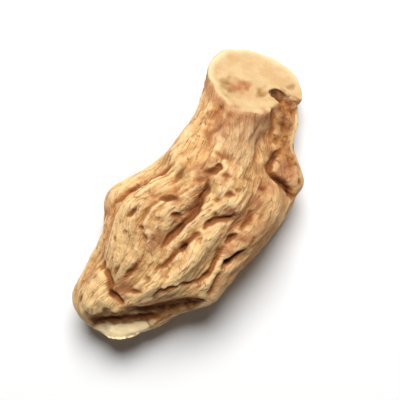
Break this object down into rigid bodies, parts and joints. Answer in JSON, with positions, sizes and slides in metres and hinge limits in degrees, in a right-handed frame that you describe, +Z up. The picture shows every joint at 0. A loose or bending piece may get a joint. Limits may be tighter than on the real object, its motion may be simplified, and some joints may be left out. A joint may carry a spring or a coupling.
{
  "type": "dried ginger root",
  "caption": "Dried ginger root piece with a slanting cut end, ribbed neck, broad shoulder, side knob, lengthwise wrinkles and a broken tip.",
  "frame": {"origin": "on the surface that the root lies on, under the middle of its bounding box", "axes": "+X along the root towards its cut end, +Y towards its broad shoulder, +Z up"},
  "size_m": [0.0392, 0.0206, 0.0136],
  "materials": {
    "ginger_skin": "matte dry wrinkled skin, pale cream where cut"
  },
  "bodies": {
    "root": {"ginger_root": "ginger_skin"}
  },
  "joints": []
}
